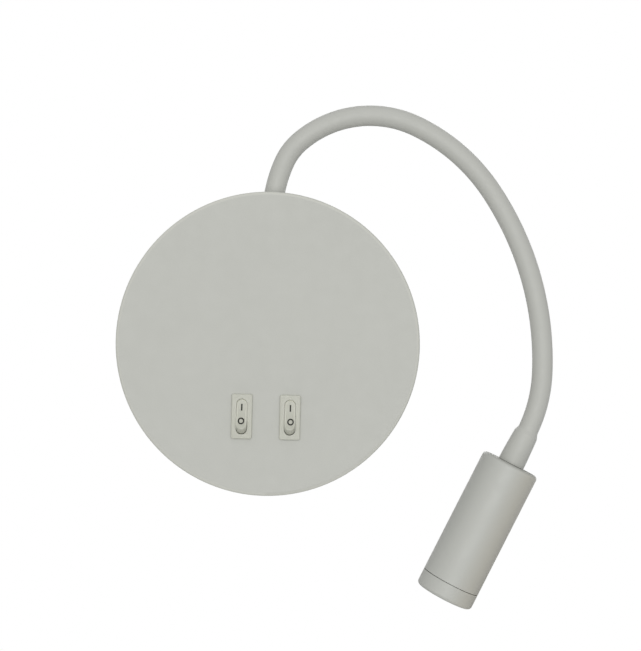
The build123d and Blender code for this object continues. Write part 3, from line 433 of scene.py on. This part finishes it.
def cover_edge_light_mask(tree):
    """Painted light: one on the cover's rounded edge, none on its face and its rim."""
    radius = hypotenuse(tree, offset_along(tree, across), offset_along(tree, up))
    outward = rising(tree, radius, cover_high.x - cover_edge_radius, cover_high.x)
    forward = rising(tree, offset_along(tree, towards_room, cover_low), -cover_edge_radius, 0.0)
    return maths(tree, "MULTIPLY", outward, forward)


# Switches: painted light, a paler line on each rocker's rounded edge and on the wall of its opening, lightening
# the shade there; it fades out towards the rocker's lower end, so the shade there stays dark
rocker_hinges = {side: joint_places[f"switch_{side}"] for side in sides}
rocker_half_width = 2.62 * MM
rocker_straight = 6.05 * MM
rocker_edge_radius = 0.9 * MM
opening_half_width = 2.75 * MM
opening_lip = 0.15 * MM
outline_fade_start = -6.0 * MM
outline_fade_end = -2.0 * MM


def rocker_outline(tree, hinge):
    """Distance from a rocker's middle line, and a factor that fades out towards its lower end."""
    above = offset_along(tree, up, hinge)
    past = maths(tree, "SUBTRACT", maths(tree, "ABSOLUTE", above), rocker_straight)
    radius = hypotenuse(tree, offset_along(tree, across, hinge), maths(tree, "MAXIMUM", past, 0.0))
    return radius, rising(tree, above, outline_fade_start, outline_fade_end)


def rocker_rim_light_mask(hinge):
    """Painted light: one on a rocker's rounded edge."""
    def factor(tree):
        radius, fade = rocker_outline(tree, hinge)
        outward = rising(tree, radius, rocker_half_width - rocker_edge_radius, rocker_half_width)
        return maths(tree, "MULTIPLY", outward, fade)
    return factor


def opening_wall_light_mask(hinge):
    """Painted light: one on the wall of the opening round a rocker, where the gap is shaded, none on the frame's
    face.
    """
    def factor(tree):
        radius, fade = rocker_outline(tree, hinge)
        inward = falling(tree, radius, opening_half_width, opening_half_width + opening_lip)
        return maths(tree, "MULTIPLY", inward, fade)
    return factor


# Head: painted warm reflection, a warmer tone on its right as the room sees it, and painted shade, a darker tone
# without shine on its upper end
head_low, head_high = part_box("head_barrel")
head_radius = (head_high - head_low).y / 2
head_right = -side_of(head_direction)
warm_start_share = 0.05
warm_end_share = 0.6
head_end_depth = 1.2 * MM


def head_right_reflection_mask(tree):
    """Painted warm reflection: none on the head's left as the room sees it, one near its right edge."""
    offset = offset_along(tree, head_right, hinges[-1])
    return rising(tree, offset, warm_start_share * head_radius, warm_end_share * head_radius)


def head_upper_end_shade_mask(tree):
    """Painted shade: one on the head's upper end face, fading out over its rounded edge."""
    past = offset_along(tree, head_direction, hinges[-1] + head_start * head_direction)
    return falling(tree, past, 0.0, head_end_depth)


# Finishes, mostly under the names of the record's slots
grain_along_z = (1.0, 1.0, 0.05)
grain_along_x = (0.05, 1.0, 1.0)
cover_paint = powder_paint("cover_paint", cover_grey)
head_paint = satin_paint("head_paint", head_grey, head_painted_warm_reflection, head_right_reflection_mask)
finishes = {
    "cover_paint": with_painted_light(cover_paint, cover_edge_light_mask, cover_edge_painted_light),
    "canopy_paint": powder_paint("canopy_paint", cover_grey),
    "head_paint": with_painted_light(head_paint, head_upper_end_shade_mask, head_end_painted_shade, specular=0.0),
    "sleeve": silicone("sleeve", sleeve_grey),
    "zinc_steel": metal("zinc_steel", zinc, dull_zinc, roughness=0.40, stretch=grain_along_z),
    "nickel": metal("nickel", nickel, dull_nickel, roughness=0.28),
    "brass": metal("brass", brass, dull_brass, roughness=0.30),
    "ferrule_painted_shade": metal("ferrule_painted_shade", seam_shade_brass, dull_seam_shade_brass, roughness=0.45),
    "contact_brass": metal("contact_brass", spring_brass, dull_spring_brass, roughness=0.34),
    "coil_steel": metal("coil_steel", steel, dull_steel, roughness=0.42),
    "bare_aluminium": metal(
        "bare_aluminium", aluminium, dull_aluminium, roughness=0.38, grain=0.35 * MM, stretch=grain_along_x
    ),
    "block_plastic": moulded("block_plastic", block_white, roughness=0.42),
    "driver_plastic": moulded(
        "driver_plastic", driver_white, roughness=0.5, grain=0.5 * MM, depth=0.015 * MM
    ),
    "board": solder_mask("board", board_white),
    "led": moulded("led", led_yellow, roughness=0.3, grain=0.2 * MM, depth=0.002 * MM),
    "opal": opal_acrylic("opal", opal_white),
    "clear_lens": clear_acrylic("clear_lens", clear_white),
    "holder_plastic": moulded("holder_plastic", holder_white, roughness=0.4),
    "gasket": moulded("gasket", rubber_black, roughness=0.65, grain=0.15 * MM, depth=0.01 * MM),
    "cable": moulded("cable", cable_grey, roughness=0.45, grain=0.6 * MM, depth=0.02 * MM),
    "lead_brown": moulded("lead_brown", wire_brown, roughness=0.38, grain=0.6 * MM, depth=0.01 * MM),
    "lead_blue": moulded("lead_blue", wire_blue, roughness=0.38, grain=0.6 * MM, depth=0.01 * MM),
}

# Each switch has two finishes of its own, because its hinge places the painted light round the rocker
for side, hinge in rocker_hinges.items():
    finish = moulded(f"switch_plastic_{side}", frame_cream, roughness=0.42, specular=0.4, milky=0.35)
    finishes[finish.name] = with_painted_light(finish, opening_wall_light_mask(hinge), rocker_edge_painted_light)
    finish = moulded(
        f"rocker_plastic_{side}", rocker_cream, roughness=0.36, grain=0.2 * MM, depth=0.004 * MM, milky=0.35
    )
    finishes[finish.name] = with_painted_light(finish, rocker_rim_light_mask(hinge), rocker_edge_painted_light)

# The ferrule is painted near black as painted shade, so that the seam over the head stays dark like a shadow gap
node_finishes = {part["node"]: part["material_slot"] for part in frame["record"]["subparts"]}
node_finishes["head_ferrule"] = "ferrule_painted_shade"
for side in sides:
    node_finishes[f"switch_body_{side}"] = f"switch_plastic_{side}"
    node_finishes[f"switch_rocker_{side}"] = f"rocker_plastic_{side}"
for node_name, node in nodes.items():
    node.data.materials.clear()
    node.data.materials.append(finishes[node_finishes[node_name]])


# Pieces made here: helpers

def add_piece(name, mesh, slot_name, material=None):
    """Link a new piece, with the finish of its slot unless another one is given."""
    piece = bpy.data.objects.new(name, mesh)
    bpy.context.scene.collection.objects.link(piece)
    mesh.materials.append(material or finishes[slot_name])
    return piece


def even_steps(start, end, step):
    """Distances from start to end, about a step apart."""
    count = max(2, round((end - start) / step))
    return [start + (end - start) * number / count for number in range(count + 1)]


def join_rows(build, first, second, closed=False):
    """Four-sided faces between two rows of as many points."""
    count = len(first)
    faces = []
    for number in range(count if closed else count - 1):
        after = (number + 1) % count
        faces.append(build.faces.new((first[number], first[after], second[after], second[number])))
    return faces


def closed_mesh(name, build):
    """The mesh of a finished build, its faces turned outwards."""
    bmesh.ops.recalc_face_normals(build, faces=build.faces)
    mesh = bpy.data.meshes.new(name)
    build.to_mesh(mesh)
    build.free()
    return mesh


def neck_ring(build, distance, radius, segments):
    """Points of a circle square to the neck's line, a distance along it."""
    middle, direction = neck_point(distance)
    right = side_of(direction)
    points = []
    for number in range(segments):
        angle = 2 * pi * number / segments
        offset = cos(angle) * right + sin(angle) * towards_room
        points.append(build.verts.new(middle + radius * offset))
    return points


def tube(name, distances, outer, inner, segments):
    """Closed tube round the neck's line, with an outer and perhaps an inner radius at each distance."""
    build = bmesh.new()
    walls = []
    for radius_at in (outer, inner):
        if radius_at is not None:
            rings = [neck_ring(build, distance, radius_at(distance), segments) for distance in distances]
            walls.append(rings)
    for wall in walls:
        for near, far in zip(wall, wall[1:]):
            for face in join_rows(build, near, far, closed=True):
                face.smooth = True
    for end in (0, -1):
        if inner is None:
            build.faces.new(walls[0][end])
        else:
            join_rows(build, walls[0][end], walls[1][end], closed=True)
    for edge in build.edges:
        edge.smooth = all(face.smooth for face in edge.link_faces)
    return closed_mesh(name, build)


# Sleeve and cable: a piece for each hinge, from the middle of one length to the middle of the next
sleeve_radius = 5.15 * MM
sleeve_bore = 4.15 * MM
sleeve_bottom = -1.95 * MM
sleeve_segments = 48
flare_start = neck_length - 19.6 * MM
flare_knee = neck_length - 16.4 * MM
flare_knee_radius = 6.15 * MM
flare_end = neck_length - 0.12 * MM
flare_end_radius = 6.8 * MM
flare_ease_in = 2.2
flare_ease_out = 1.6
cable_radius = 1.8 * MM
cable_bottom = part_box("led_driver")[1].z - hinges[0].z
cable_top = reaches[-1] + max(past_last_hinge("neck_cable"))
cable_segments = 20
ring_step = 1.0 * MM
flare_ring_step = 0.4 * MM
middles = [(near + far) / 2 for near, far in zip(reaches, reaches[1:])]
blend_margin = 1.0 * MM
gland_blend_start = -1.0 * MM
gland_blend_end = 9.0 * MM
head_blend_end = 3.0 * MM
# These pieces list the body nearer the head first
head_first_pieces = (4, 9)


def sleeve_outer(distance):
    """Outer radius of the sleeve: even, then swelling smoothly to the head."""
    if distance <= flare_start:
        return sleeve_radius
    if distance <= flare_knee:
        share = (distance - flare_start) / (flare_knee - flare_start)
        eased = share * share * (flare_ease_in - (flare_ease_in - 1.0) * share)
        return sleeve_radius + (flare_knee_radius - sleeve_radius) * eased
    share = (distance - flare_knee) / (flare_end - flare_knee)
    eased = share * (flare_ease_out - (flare_ease_out - 1.0) * share)
    return flare_knee_radius + (flare_end_radius - flare_knee_radius) * eased


def sleeve_inner(distance):
    """Inner radius of the sleeve, one wall inside."""
    return sleeve_outer(distance) - (sleeve_radius - sleeve_bore)


def cable_outer(distance):
    """Radius of the cable, the same at every distance."""
    return cable_radius


def neck_run(name, first, last, outer, inner, segments, slot_name, node_name):
    """One tube along the whole neck, in pieces that each span one hinge."""
    cuts = [first] + middles + [last]
    for number, (start, end) in enumerate(zip(cuts, cuts[1:])):
        distances = even_steps(start, min(end, flare_start), ring_step)
        if end > flare_start:
            distances += even_steps(flare_start, end, flare_ring_step)[1:]
        piece_name = f"{name}_{number + 1:02d}"
        piece = add_piece(piece_name, tube(piece_name, distances, outer, inner, segments), slot_name)
        blend_from = start + blend_margin
        blend_to = end - blend_margin
        if number == 0:
            blend_from = gland_blend_start
            blend_to = gland_blend_end
        if number == len(hinges) - 1:
            blend_to = reaches[-1] + head_blend_end
        ends = [(neck_bodies[number], blend_from), (neck_bodies[number + 1], blend_to)]
        if number + 1 in head_first_pieces:
            ends.reverse()
        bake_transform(piece)
        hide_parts(node_name)


neck_run(
    "sleeve", sleeve_bottom, flare_end, sleeve_outer, sleeve_inner, sleeve_segments, "sleeve", "neck_sleeve"
)
neck_run("cable", cable_bottom, cable_top, cable_outer, None, cable_segments, "cable", "neck_cable")


# Switch marks: a bar for on and a ring for off, printed on each rocker
mark_ink = moulded("mark_ink", ink_black, roughness=0.6, grain=0.1 * MM, depth=0.002 * MM, specular=0.2)
mark_thickness = 0.03 * MM
mark_step = 0.15 * MM
bar_place = 4.56 * MM
bar_length = 3.25 * MM
bar_width = 0.72 * MM
ring_place = -2.04 * MM
ring_radius = 1.64 * MM
ring_stroke = 0.66 * MM
ring_segments = 48
mark_shifts = {"left": (0.0 * MM, -0.11 * MM), "right": (0.18 * MM, 0.42 * MM)}
ray_start = 10 * MM


def bar_rows(shift):
    """Rows across the bar, as offsets from the rocker's hinge, moved sideways by a shift."""
    return [
        [(shift + sideways, upwards) for sideways in even_steps(-bar_width / 2, bar_width / 2, mark_step)]
        for upwards in even_steps(bar_place - bar_length / 2, bar_place + bar_length / 2, mark_step)
    ]


def ring_rows(shift):
    """Rows across the ring's stroke, as offsets from the rocker's hinge, moved sideways by a shift."""
    radii = even_steps(ring_radius - ring_stroke, ring_radius, mark_step)
    angles = [2 * pi * number / ring_segments for number in range(ring_segments)]
    return [
        [(shift + radius * cos(angle), ring_place + radius * sin(angle)) for radius in radii]
        for angle in angles
    ]


def printed(name, rows, closed, rocker, hinge):
    """Thin ink laid on a rocker's face, in rows of offsets that run across the stroke."""
    face = BVHTree.FromObject(rocker, bpy.context.evaluated_depsgraph_get())
    build = bmesh.new()
    layers = []
    for height in (-mark_thickness, mark_thickness):
        layer = []
        for row in rows:
            places = [hinge + Vector((sideways, -ray_start, upwards)) for sideways, upwards in row]
            hits = [face.ray_cast(place, towards_wall)[0] for place in places]
            layer.append([build.verts.new(hit + height * towards_room) for hit in hits])
        layers.append(layer)
    under, over = layers
    count = len(rows)
    for number in range(count if closed else count - 1):
        after = (number + 1) % count
        for layer in layers:
            join_rows(build, layer[number], layer[after])
        for edge in (0, -1):
            lower = (under[number][edge], under[after][edge])
            upper = (over[number][edge], over[after][edge])
            join_rows(build, lower, upper)
    if not closed:
        for end in (0, -1):
            join_rows(build, under[end], over[end])
    return closed_mesh(name, build)


for side, (bar_shift, ring_shift) in mark_shifts.items():
    for mark, rows, closed in (("bar", bar_rows(bar_shift), False), ("ring", ring_rows(ring_shift), True)):
        mark_name = f"{mark}_mark_{side}"
        mesh = printed(mark_name, rows, closed, nodes[f"switch_rocker_{side}"], rocker_hinges[side])
        piece = add_piece(mark_name, mesh, "rocker_plastic", mark_ink)
        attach(piece, f"rocker_{side}")


# Stage: a pale floor under the lamp, a white surround and soft light from the front, above and behind
floor_drop = 0.18
floor_radius = 0.6
floor_height = cad_low[2] - floor_drop
floor_segments = 96
floor_cloud_size = 0.2
floor_fade_start = 0.35 * floor_radius
floor_fade_end = 0.95 * floor_radius
world_strength = 0.45
world_glossy_strength = 0.8
lamp_middle = (0.03, -0.02, 0.0)


def make_floor():
    """Pale round floor that fades to white at its edge."""
    mesh = bpy.data.meshes.new("floor")
    build = bmesh.new()
    bmesh.ops.create_circle(build, cap_ends=True, radius=floor_radius, segments=floor_segments)
    build.to_mesh(mesh)
    build.free()
    floor = bpy.data.objects.new("floor", mesh)
    floor.location = (0, 0, floor_height)
    bpy.context.scene.collection.objects.link(floor)
    material, tree, shader = surface("floor_pale", floor_white, roughness=0.9, specular=0.1)
    clouds = blend_colours(tree, noise(tree, floor_cloud_size), floor_white, floor_bright_white)
    tree.links.new(clouds, shader.inputs["Base Color"])
    radius = hypotenuse(tree, offset_along(tree, across), offset_along(tree, towards_room))
    glow = tree.nodes.new("ShaderNodeEmission")
    path = tree.nodes.new("ShaderNodeLightPath")
    tree.links.new(path.outputs["Is Camera Ray"], glow.inputs["Strength"])
    mix = tree.nodes.new("ShaderNodeMixShader")
    tree.links.new(rising(tree, radius, floor_fade_start, floor_fade_end), mix.inputs["Fac"])
    tree.links.new(shader.outputs["BSDF"], mix.inputs[1])
    tree.links.new(glow.outputs["Emission"], mix.inputs[2])
    tree.links.new(mix.outputs["Shader"], tree.nodes["Material Output"].inputs["Surface"])
    mesh.materials.append(material)


def make_world():
    """White surround that lights the lamp at a lower strength than it shows."""
    world = bpy.data.worlds.new("surround")
    bpy.context.scene.world = world
    world.use_nodes = True
    tree = world.node_tree
    background = tree.nodes["Background"]
    background.inputs["Color"].default_value = (1.0, 1.0, 1.0, 1.0)
    path = tree.nodes.new("ShaderNodeLightPath")
    seen = maths(tree, "MAXIMUM", path.outputs["Is Camera Ray"], path.outputs["Is Transmission Ray"])
    reflected = maths(tree, "MULTIPLY", path.outputs["Is Glossy Ray"], world_glossy_strength)
    share = maths(tree, "MAXIMUM", seen, reflected)
    level = spread(tree, share, world_strength, 1.0, start=0.0, end=1.0)
    tree.links.new(level, background.inputs["Strength"])


def make_light(name, place, size, power):
    """Square soft light that points at the lamp and that the camera doesn't see."""
    light = bpy.data.lights.new(name, "AREA")
    light.shape = "SQUARE"
    light.size = size
    light.energy = power
    lamp = bpy.data.objects.new(name, light)
    lamp.location = place
    lamp.rotation_euler = (Vector(lamp_middle) - Vector(place)).to_track_quat("-Z", "Y").to_euler()
    lamp.visible_camera = False
    bpy.context.scene.collection.objects.link(lamp)


make_floor()
make_world()
make_light("front_light", place=(0.03, -1.55, 0.12), size=1.1, power=13.6)
make_light("top_light", place=(0.0, -0.3, 1.5), size=1.0, power=1.5)
make_light("back_light", place=(0.3, 1.6, 0.5), size=1.2, power=9.0)


# Camera: in front of the face, level, and rolled a little as the photograph is
camera_place = (25.77 * MM, -0.795, 9.66 * MM)
camera_roll = radians(1.4)
focal_pixels = 1545.0
image_width = 641
sensor_width = 36.0

camera_data = bpy.data.cameras.new("camera")
camera_data.sensor_fit = "HORIZONTAL"
camera_data.sensor_width = sensor_width
camera_data.lens = sensor_width * focal_pixels / image_width
camera = bpy.data.objects.new("camera", camera_data)
camera.matrix_world = (
    Matrix.Translation(camera_place) @ Matrix.Rotation(pi / 2, 4, "X") @ Matrix.Rotation(camera_roll, 4, "Z")
)
bpy.context.scene.collection.objects.link(camera)
bpy.context.scene.camera = camera
bpy.context.scene.view_settings.view_transform = "Standard"
